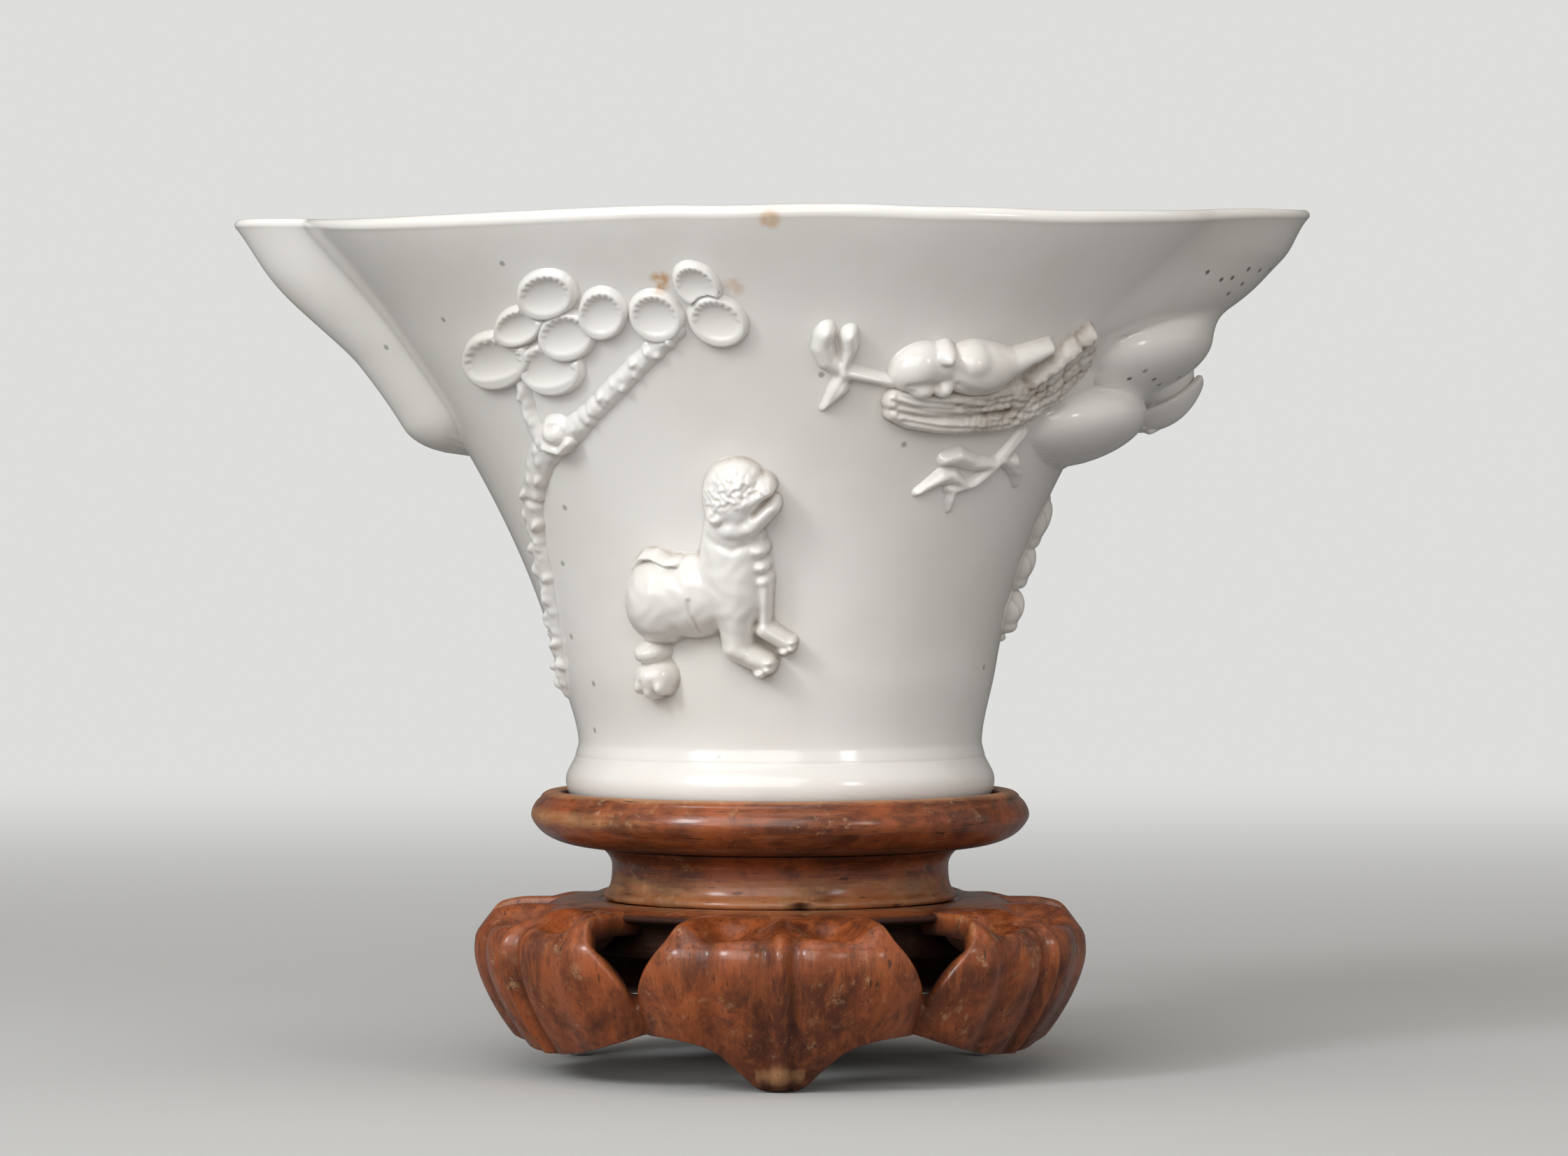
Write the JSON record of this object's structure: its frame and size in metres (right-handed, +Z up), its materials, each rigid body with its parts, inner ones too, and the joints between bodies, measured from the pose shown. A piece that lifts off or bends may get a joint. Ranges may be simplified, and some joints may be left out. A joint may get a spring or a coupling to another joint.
{
  "type": "libation cup on stand",
  "caption": "Flared oval porcelain libation cup with a pouring lip and applied pine, lion and raft ornaments, lifting off a turned and carved wooden stand with petals.",
  "frame": {"origin": "on the table, under the middle of the whole object's box", "axes": "+Z up, X along the cup's length with the pouring lip at -X, front with the pine, lion and raft at -Y"},
  "size_m": [0.1408, 0.102, 0.1124],
  "materials": {
    "porcelain": "glossy ivory-white glaze",
    "wood": "waxed reddish hardwood, worn"
  },
  "bodies": {
    "stand": {"petal_base": "wood", "waist_collar": "wood", "seat_dish": "wood"},
    "cup": {"cup_body": "porcelain", "pine_trunk": "porcelain", "pine_left_branch": "porcelain", "pine_right_branch": "porcelain", "pine_needles_1": "porcelain", "pine_needles_2": "porcelain", "pine_needles_3": "porcelain", "pine_needles_4": "porcelain", "pine_needles_5": "porcelain", "pine_needles_6": "porcelain", "pine_needles_7": "porcelain", "pine_needles_8": "porcelain", "pine_needles_9": "porcelain", "guardian_lion": "porcelain", "raft_hull": "porcelain", "raft_rider": "porcelain", "prow_sprig": "porcelain", "leaf_spray": "porcelain", "prunus_branch": "porcelain", "prunus_bud_1": "porcelain", "prunus_bud_2": "porcelain", "prunus_bud_3": "porcelain", "magnolia_flower": "porcelain"}
  },
  "joints": [
    {"name": "cup_lift", "type": "slide", "parent": "stand", "child": "cup", "axis": [0, 0, 1], "range_m": [0, 0.06]}
  ]
}
